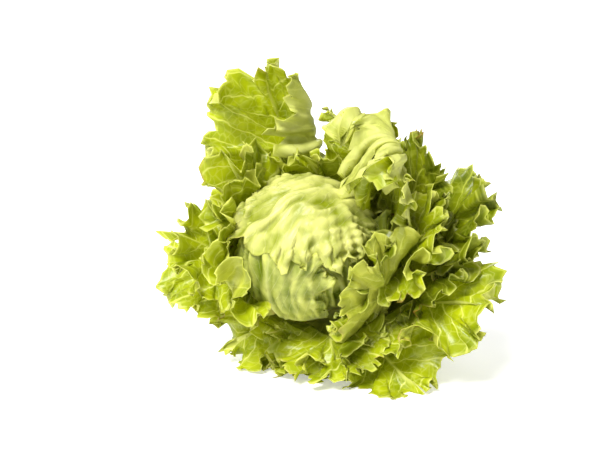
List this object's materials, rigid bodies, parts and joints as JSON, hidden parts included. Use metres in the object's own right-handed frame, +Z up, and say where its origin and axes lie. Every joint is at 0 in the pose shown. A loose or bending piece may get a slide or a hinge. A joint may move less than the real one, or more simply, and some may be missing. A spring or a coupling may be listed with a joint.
{
  "type": "loose-leaved crisp lettuce head",
  "caption": "Head of crisp lettuce leaning on its lower leaves: a pale closed heart of wrapped leaves inside a wide ring of frilled green leaves on a short cut stem.",
  "frame": {"origin": "on the table, under the middle of the head's bounding box", "axes": "+Z up from the table; the top of the head points up and leans towards -Y, turned a little to -X; +X to the right as the heart is seen from the front"},
  "size_m": [0.289, 0.2448, 0.2628],
  "materials": {
    "green_leaf": "satin, waxy leaf",
    "heart_leaf": "satin, pale waxy leaf",
    "stem": "matte, fibrous cut"
  },
  "bodies": {
    "root": {"base_leaf_back": "green_leaf", "base_leaf_back_right": "green_leaf", "base_leaf_lower_left": "green_leaf", "base_leaf_lower_right": "green_leaf", "folded_leaf_upper_right": "green_leaf", "front_leaf_lower_right": "green_leaf", "heart_bud": "heart_leaf", "heart_leaf_1": "heart_leaf", "heart_leaf_2": "heart_leaf", "heart_leaf_3": "heart_leaf", "heart_leaf_4": "heart_leaf", "heart_leaf_5": "heart_leaf", "heart_leaf_6": "heart_leaf", "heart_leaf_cap": "heart_leaf", "inner_leaf_bottom": "green_leaf", "inner_leaf_left": "green_leaf", "inner_leaf_lower_left": "green_leaf", "inner_leaf_right": "green_leaf", "inner_leaf_top": "green_leaf", "middle_leaf_bottom": "green_leaf", "middle_leaf_left": "green_leaf", "middle_leaf_lower_left": "green_leaf", "middle_leaf_right": "green_leaf", "middle_leaf_top": "green_leaf", "middle_leaf_upper_left": "green_leaf", "middle_leaf_upper_right": "green_leaf", "outer_leaf_bottom": "green_leaf", "outer_leaf_left": "green_leaf", "outer_leaf_lower_right": "green_leaf", "outer_leaf_right": "green_leaf", "outer_leaf_top": "green_leaf", "outer_leaf_upper_left": "green_leaf", "outer_leaf_upper_right": "green_leaf", "stem": "stem"}
  },
  "joints": []
}
